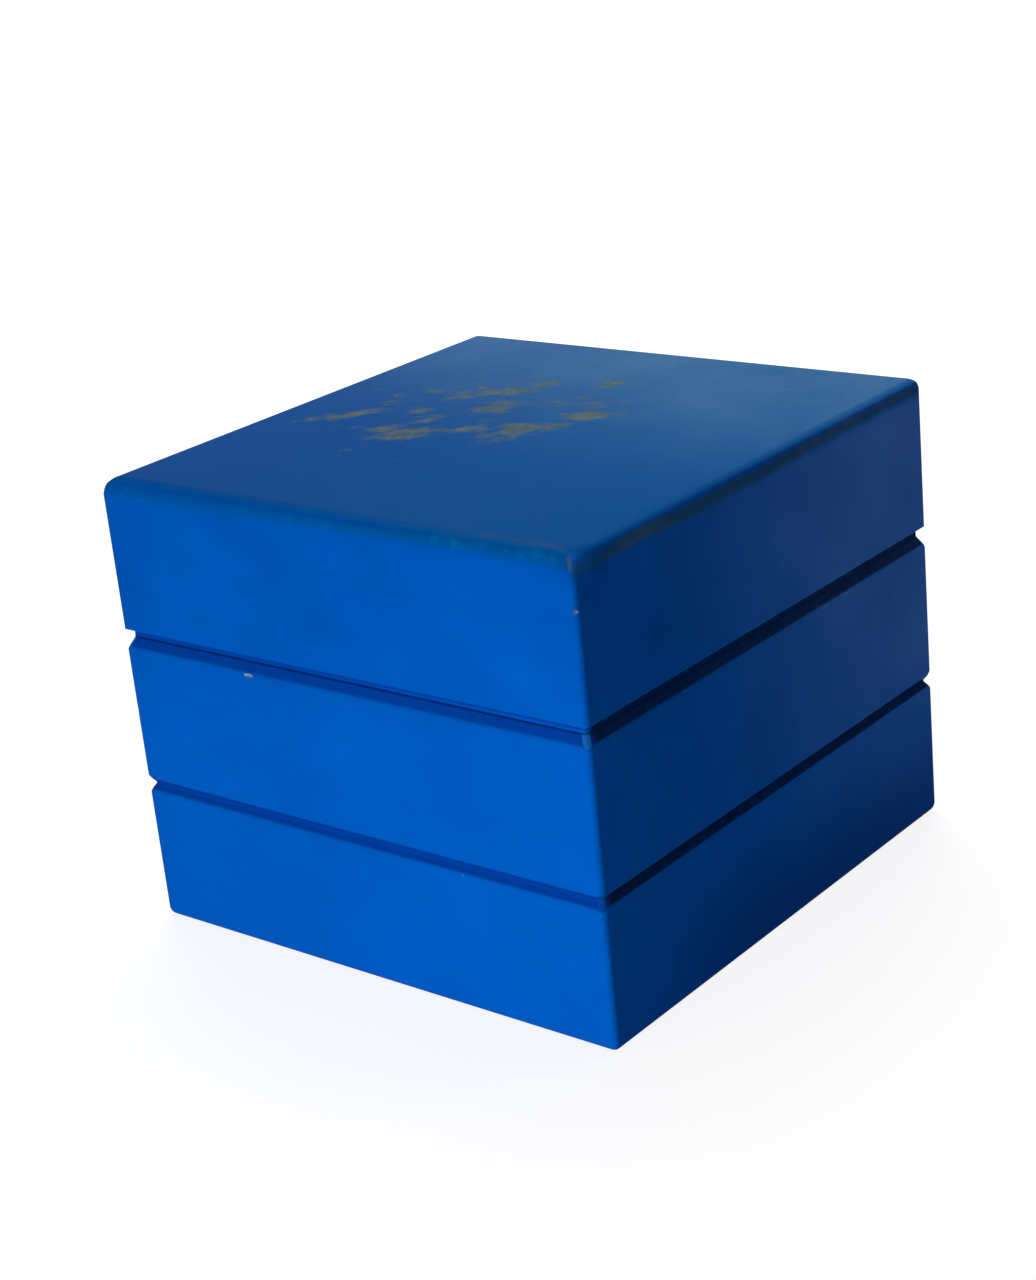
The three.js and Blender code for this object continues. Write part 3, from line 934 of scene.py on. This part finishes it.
def paintedBase():
    groove = shell["rimInset"]
    apex = shell["apexDepth"]
    piece = startBlock("painted_base", (-halfWidth, -halfDepth, floorLow.z), (halfWidth, halfDepth, lowerLip))
    pick(piece, "FACE", lambda face: face.normal.z > mostly)
    slope(lowerGrooveZ - lowerLip, 0, apex)  # the lower groove, in and out again
    slope(bandLip - lowerGrooveZ, apex, 0)
    push(middleLip - bandLip)
    slope(baseRim - middleLip, 0, groove)    # the sloping rim
    bpy.ops.mesh.inset(thickness=wall - groove, use_even_offset=True)
    push(floorZ - baseRim)
    outerEdges(piece, shell["bottomRound"], ringEdge(floorLow.z, 0))
    outerEdges(piece, shell["uprightRound"], uprightEdge)
    for height in (lowerLip, bandLip, middleLip):
        outerEdges(piece, shell["lipRound"], ringEdge(height, 0))
    outerEdges(piece, shell["grooveRound"], ringEdge(lowerGrooveZ, apex))
    outerEdges(piece, shell["rimRound"], ringEdge(baseRim, groove))
    outerEdges(piece, shell["rimRound"], ringEdge(baseRim, wall))
    roundEdges(piece)
    cutHinges(piece, baseRim, -1)
    knock(piece, "base")
    smoothBy(piece, shell["smoothAngle"])
    boards = ["base_floor_board"] + [f"base_{side}_wall" for side in walls]
    settle(piece, "base", boards, basePaint)


paintedLid()
paintedBase()
print("painted shells made")


# Felt lining

lining = {
    "topRound": 0.85 * mm,
    "topSteps": 4,
    "sharpAngle": 60,                        # degrees
    "edgeRound": 0.3 * mm,
    "edgeSteps": 3,
    "smoothAngle": 40,                       # degrees
}


def liningBoard(side):
    low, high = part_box(f"lining_{side}")
    piece = startBlock(f"felt_lining_{side}", low, high)
    pick(piece, "EDGE", lambda edge: all(vertex.co.z > high.z - near for vertex in edge.verts))
    roundPicked(lining["topRound"], lining["topSteps"])
    roundSharp(piece, lining["sharpAngle"], lining["edgeRound"], lining["edgeSteps"])
    smoothBy(piece, lining["smoothAngle"])
    settle(piece, "base", [f"lining_{side}"], felt)


for side in walls:
    liningBoard(side)
print("lining made")


# Velvet pads

pad = {
    "shrink": 0.15 * mm,                     # the pad starts smaller, then swells
    "start": 0.62,                           # of its full thickness
    "edgeRound": 1.5 * mm,
    "edgeSteps": 4,
    "voxel": 1.5 * mm,
    "glued": 0.5,                            # of a voxel, off the face that it is glued to
    "pressure": 4.0,
    "frames": 20,
    "cap": 1.6 * mm,                         # how far the middle of the pad may rise
    "smooth": 0.5,
    "smoothRounds": 2,
    "fill": 0.7,
}


def swell(piece, restZ, low, high):          # cloth under pressure, held where the pad is glued down
    makeActive(piece)
    held = piece.vertex_groups.new(name="held")
    glued = [v.index for v in piece.data.vertices if abs(v.co.z - restZ) < pad["voxel"] * pad["glued"]]
    held.add(glued, 1.0, "REPLACE")
    before = [v.co.copy() for v in piece.data.vertices]
    cloth = piece.modifiers.new("swell", "CLOTH")
    cloth.settings.use_pressure = True
    cloth.settings.uniform_pressure_force = pad["pressure"]
    cloth.settings.effector_weights.gravity = 0
    cloth.settings.vertex_group_mass = held.name
    cloth.collision_settings.use_collision = False
    for step in range(1, pad["frames"] + 1):
        bpy.context.scene.frame_set(step)
    bpy.ops.object.modifier_apply(modifier=cloth.name)
    bpy.context.scene.frame_set(1)
    furthest = max((vertex.co - start).length for vertex, start in zip(piece.data.vertices, before))
    share = min(1, pad["cap"] / furthest)
    for vertex, start in zip(piece.data.vertices, before):
        spot = start + (vertex.co - start) * share
        for axis in range(3):
            spot[axis] = min(max(spot[axis], low[axis]), high[axis])
        vertex.co = spot


def velvetPad(name, node, body, facing):     # facing is 1 for a pad that crowns upwards
    low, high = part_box(node)
    restZ = low.z if facing > 0 else high.z
    faceZ = restZ + facing * pad["start"] * (high.z - low.z)
    inset = Vector((pad["shrink"], pad["shrink"], 0))
    nearCorner = low + inset
    farCorner = high - inset
    nearCorner.z = min(restZ, faceZ)
    farCorner.z = max(restZ, faceZ)
    piece = startBlock(name, nearCorner, farCorner)
    pick(piece, "EDGE", lambda edge: all(abs(v.co.z - faceZ) < near for v in edge.verts)
         or abs(runOf(edge).z) > mostly)
    roundPicked(pad["edgeRound"], pad["edgeSteps"])
    applyModifier(piece, "REMESH", {"mode": "VOXEL", "voxel_size": pad["voxel"]})
    swell(piece, restZ, low, high)
    applyModifier(piece, "SMOOTH", {"factor": pad["smooth"], "iterations": pad["smoothRounds"]})
    applyModifier(piece, "SUBSURF", {"levels": 1, "render_levels": 1})
    makeActive(piece)
    bpy.ops.object.shade_smooth()
    settle(piece, body, [node], velvet)


velvetPad("velvet_floor_pad", "floor_pad", "base", 1)
velvetPad("velvet_lid_pad", "lid_pad", "lid", -1)
print("pads made")


# Brass hinges, modelled on their own axis and then copied into place

def hingeLeaf(name, otherSpans, node):       # one barrel, cut away where the other leaf's knuckles turn
    low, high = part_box(node)
    half = (high.x - low.x) / 2
    inner = low.y - hingeAxis.y
    faceZ = baseRim - seamZ                  # the leaf lies face up, flush with its rim
    backZ = faceZ - hinge["leafThickness"]

    def innerCorner(edge):
        return abs(runOf(edge).z) > mostly and all(v.co.y < inner + near for v in edge.verts)

    def outline(edge):                       # of the plate's two faces, short of the barrel
        return abs(runOf(edge).z) < hardly and any(v.co.y < 0 for v in edge.verts)

    piece = startBlock(name, (-half, inner, backZ), (half, hinge["tuck"], faceZ))
    pick(piece, "EDGE", innerCorner)
    roundPicked(hinge["cornerRound"], hinge["cornerSteps"])
    pick(piece, "EDGE", outline)
    roundPicked(hinge["edgeRound"], hinge["edgeSteps"])
    reach = half - hinge["endStep"]
    barrel = startRod("barrel", hinge["barrelRadius"], (-reach, 0, 0), (reach, 0, 0), hinge["sides"])
    pick(barrel, "EDGE", lambda edge: abs(runOf(edge).x) < hardly)
    roundPicked(hinge["edgeRound"], hinge["edgeSteps"])
    combine(piece, barrel, "UNION")
    relief = hinge["barrelRadius"] + hinge["relief"]
    gap = hinge["knuckleGap"]
    for start, end in otherSpans:
        notch = startRod("notch", relief, (start - gap, 0, 0), (end + gap, 0, 0), hinge["sides"])
        combine(piece, notch, "DIFFERENCE")
    reach = half + hinge["boreOver"]
    bore = startRod("bore", hinge["boreRadius"], (-reach, 0, 0), (reach, 0, 0), hinge["sides"])
    combine(piece, bore, "DIFFERENCE")
    leafLow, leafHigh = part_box("left_hinge_base_leaf")
    for number in screwNumbers:
        screwLow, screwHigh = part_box(f"left_hinge_base_screw_{number}")
        screwX = (screwLow.x + screwHigh.x - leafLow.x - leafHigh.x) / 2
        screwY = (screwLow.y + screwHigh.y) / 2 - hingeAxis.y
        combine(piece, countersink(screwX, screwY, faceZ), "DIFFERENCE")
    clearSlivers(piece)
    smoothBy(piece, hinge["smoothAngle"])
    return piece


def countersink(x, y, faceZ):                # a cutter that flares as a screw's head does
    bpy.ops.object.select_all(action="DESELECT")
    top = screw["headRadius"] + screw["gap"]
    bottom = screw["crestRadius"] + screw["gap"]
    over = screw["sinkOver"]
    flare = (top - bottom) / (screw["headHeight"] + screw["gap"])
    depth = screw["headHeight"] + screw["gap"] + 2 * over
    bpy.ops.mesh.primitive_cone_add(vertices=screw["sides"], radius1=bottom - flare * over,
                                    radius2=top + flare * over, depth=depth,
                                    location=(x, y, faceZ + over - depth / 2))
    piece = bpy.context.object
    bpy.ops.object.transform_apply(location=True, rotation=True, scale=True)
    return piece


def stepDown(drop, radius, now):             # extrude down, then draw in or out from the radius now
    push(-drop)
    size = radius / now
    bpy.ops.transform.resize(value=(size, size, 1))
    return radius


def slottedScrew():                          # head face at z 0, point down
    head = screw["headRadius"]
    core = screw["coreRadius"]
    crest = screw["crestRadius"]
    piece = startRod("screw", head, (0, 0, -screw["headRim"]), (0, 0, 0), screw["sides"])
    pick(piece, "FACE", lambda face: face.normal.z < -mostly)
    now = stepDown(screw["headHeight"] - screw["headRim"], core, head)
    pitch = (screw["length"] - screw["headHeight"] - screw["tipLength"]) / screw["threads"]
    for _ in range(screw["threads"]):
        now = stepDown(pitch * screw["flankShare"], crest, now)
        now = stepDown(pitch * screw["crestShare"], crest, now)
        now = stepDown(pitch * screw["flankShare"], core, now)
    stepDown(screw["tipLength"], screw["tipRadius"], now)
    leaveEdit()
    reach = head + screw["slotOver"]
    slotHalf = screw["slotWidth"] / 2
    slot = startBlock("slot", (-slotHalf, -reach, -screw["slotDepth"]), (slotHalf, reach, screw["slotOver"]))
    combine(piece, slot, "DIFFERENCE")
    roundSharp(piece, screw["sharpAngle"], screw["edgeRound"], screw["edgeSteps"])
    smoothBy(piece, screw["smoothAngle"])
    return piece


def hingePin():
    low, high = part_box("left_hinge_pin")
    half = (high.x - low.x) / 2
    radius = (high.z - low.z) / 2
    piece = startRod("pin", radius, (-half, 0, 0), (half, 0, 0), hinge["sides"])
    pick(piece, "EDGE", lambda edge: abs(runOf(edge).x) < hardly)
    roundPicked(radius * hinge["pinRound"], hinge["pinSteps"])
    smoothBy(piece, hinge["pinSmoothAngle"])
    return piece


def hinges():
    leafLow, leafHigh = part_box("left_hinge_base_leaf")
    half = (leafHigh.x - leafLow.x) / 2
    outer = hinge["outerKnuckle"]
    inner = half - outer - hinge["knuckleGap"]
    outerSpans = [(-half, outer - half), (half - outer, half)]
    innerSpans = [(-inner, inner)]
    baseLeaf = hingeLeaf("base_leaf", innerSpans, "left_hinge_base_leaf")
    lidLeaf = hingeLeaf("lid_leaf", outerSpans, "left_hinge_lid_leaf")
    pin = hingePin()
    driven = slottedScrew()
    turned = 0
    for side in hingeSides:
        low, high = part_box(f"{side}_hinge_pin")
        place = (low + high) / 2
        place.y = hingeAxis.y
        place.z = hingeAxis.z
        for body, pattern, turn in (("base", baseLeaf, 0.0), ("lid", lidLeaf, pi)):
            node = f"{side}_hinge_{body}_leaf"
            made = copyOf(pattern, f"brass_{node}", place, turnY=turn)
            settle(made, body, [node], brass)
            for number in screwNumbers:
                node = f"{side}_hinge_{body}_screw_{number}"
                low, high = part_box(node)
                spot = (low + high) / 2
                spot.z = baseRim if body == "base" else lidRim
                turned += screw["turnEach"]
                made = copyOf(driven, f"brass_{node}", spot, turnY=turn, turnZ=radians(turned))
                settle(made, body, [node], brass)
        made = copyOf(pin, f"brass_{side}_hinge_pin", place)
        settle(made, "base", [f"{side}_hinge_pin"], brass)
    for pattern in (baseLeaf, lidLeaf, pin, driven):
        discard(pattern)


hinges()
print("hinges made")


# Floor, lights, world and camera

stage = {
    "floorHalf": 4.0,                        # metres
    "floorColour": (0.4, 0.4, 0.4, 1.0),
    "glow": 0.84,                            # added where the floor is seen, so that its lit part is white
    "glowFar": 1.0,
    "glowReach": (0.1, 0.45),                # metres from the box over which it grows
    "sky": (1, 1, 1, 1),
    "ambient": 0.12,
    "floorGap": 0.1 * mm,                    # under the box
    "underReach": 0.3 * mm,                  # what lies nearer to the floor is lit through it
    "aim": (0, 0, 40 * mm),
}

lights = {                                   # metres and watts
    "key": {"place": (0.05, -0.34, 0.03), "size": (0.14, 0.05), "power": 0.78},
    "top": {"place": (-0.35, 0.4, 0.75), "size": (0.7, 0.7), "power": 3.7},
    "back": {"place": (0.55, 0.6, 0.35), "size": (0.4, 0.3), "power": 1.0},
    "under": {"place": (0.1, -0.2, -0.5), "size": (0.5, 0.5), "power": 1.6},
}

view = {
    "azimuth": 40.394,                       # degrees from the front towards +X
    "elevation": 20.734,
    "roll": -5.786,
    "distance": 435.37 * mm,
    "aim": (-2.91 * mm, -1.36 * mm, 43.23 * mm),
    "focal": 2473.5,                         # in pixels of the image's long side
    "longSide": 1280,
    "clipStart": 10 * mm,
}


def seenRay(start):                          # 1 for rays that show the background itself
    path = start.node("ShaderNodeLightPath")
    outputs = path.socket.node.outputs
    shown = Wire(start.tree, outputs["Is Camera Ray"])
    for name in ("Is Glossy Ray", "Is Transmission Ray"):
        shown = shown.most(Wire(start.tree, outputs[name]))
    return shown


def paleFloor():
    bpy.ops.object.select_all(action="DESELECT")
    bpy.ops.mesh.primitive_plane_add(size=2 * stage["floorHalf"],
                                     location=(0, 0, floorLow.z - stage["floorGap"]))
    floor = bpy.context.object
    floor.name = "pale_floor"
    bpy.ops.object.transform_apply(location=True, rotation=True, scale=True)
    finish = bpy.data.materials.new("pale_floor")
    finish.use_nodes = True
    nodes = finish.node_tree.nodes
    nodes.remove(nodes["Principled BSDF"])
    start = Wire(finish.node_tree)
    plain = start.node("ShaderNodeBsdfDiffuse", {}, {"Color": stage["floorColour"]})
    place = start.node("ShaderNodeTexCoord", output="Object")
    away = start.node("ShaderNodeVectorMath", {"operation": "LENGTH"}, {0: place}, "Value")
    strength = stage["glow"] + away.rise(*stage["glowReach"]) * (stage["glowFar"] - stage["glow"])
    glow = start.node("ShaderNodeEmission", {}, {"Strength": seenRay(start) * strength})
    both = start.node("ShaderNodeAddShader", {}, {0: plain, 1: glow})
    clear = start.node("ShaderNodeBsdfTransparent")
    back = start.node("ShaderNodeNewGeometry", output="Backfacing")
    run = start.node("ShaderNodeLightPath", output="Ray Length")
    through = back.most(run.math("LESS_THAN", run, stage["underReach"]))
    seen = start.node("ShaderNodeMixShader", {}, {0: through, 1: both, 2: clear})
    start.feed(nodes["Material Output"].inputs["Surface"], seen)
    floor.data.materials.append(finish)


def softRoom():
    world = bpy.data.worlds.new("soft_room")
    world.use_nodes = True
    bpy.context.scene.world = world
    start = Wire(world.node_tree)
    shown = seenRay(start)
    sky = world.node_tree.nodes["Background"]
    sky.inputs["Color"].default_value = stage["sky"]
    start.feed(sky.inputs["Strength"], shown + (1 - shown) * stage["ambient"])


def lamps():
    for name, lamp in lights.items():
        data = bpy.data.lights.new(f"{name}_light", "AREA")
        data.shape = "RECTANGLE"
        data.size, data.size_y = lamp["size"]
        data.energy = lamp["power"]
        made = bpy.data.objects.new(f"{name}_light", data)
        made.location = lamp["place"]
        toAim = Vector(stage["aim"]) - Vector(lamp["place"])
        made.rotation_euler = toAim.to_track_quat("-Z", "Y").to_euler()
        bpy.context.scene.collection.objects.link(made)


def camera():
    azimuth = radians(view["azimuth"])
    elevation = radians(view["elevation"])
    back = Vector((sin(azimuth) * cos(elevation), -cos(azimuth) * cos(elevation), sin(elevation)))
    data = bpy.data.cameras.new("photo_view")
    data.lens = view["focal"] * data.sensor_width / view["longSide"]
    data.clip_start = view["clipStart"]
    made = bpy.data.objects.new("photo_view", data)
    made.location = Vector(view["aim"]) + back * view["distance"]
    roll = Quaternion((0, 0, 1), radians(view["roll"]))
    made.rotation_euler = (back.to_track_quat("Z", "Y") @ roll).to_euler()
    bpy.context.scene.collection.objects.link(made)
    bpy.context.scene.camera = made


paleFloor()
softRoom()
lamps()
camera()
bpy.context.scene.view_settings.view_transform = "Standard"
print("stage set")
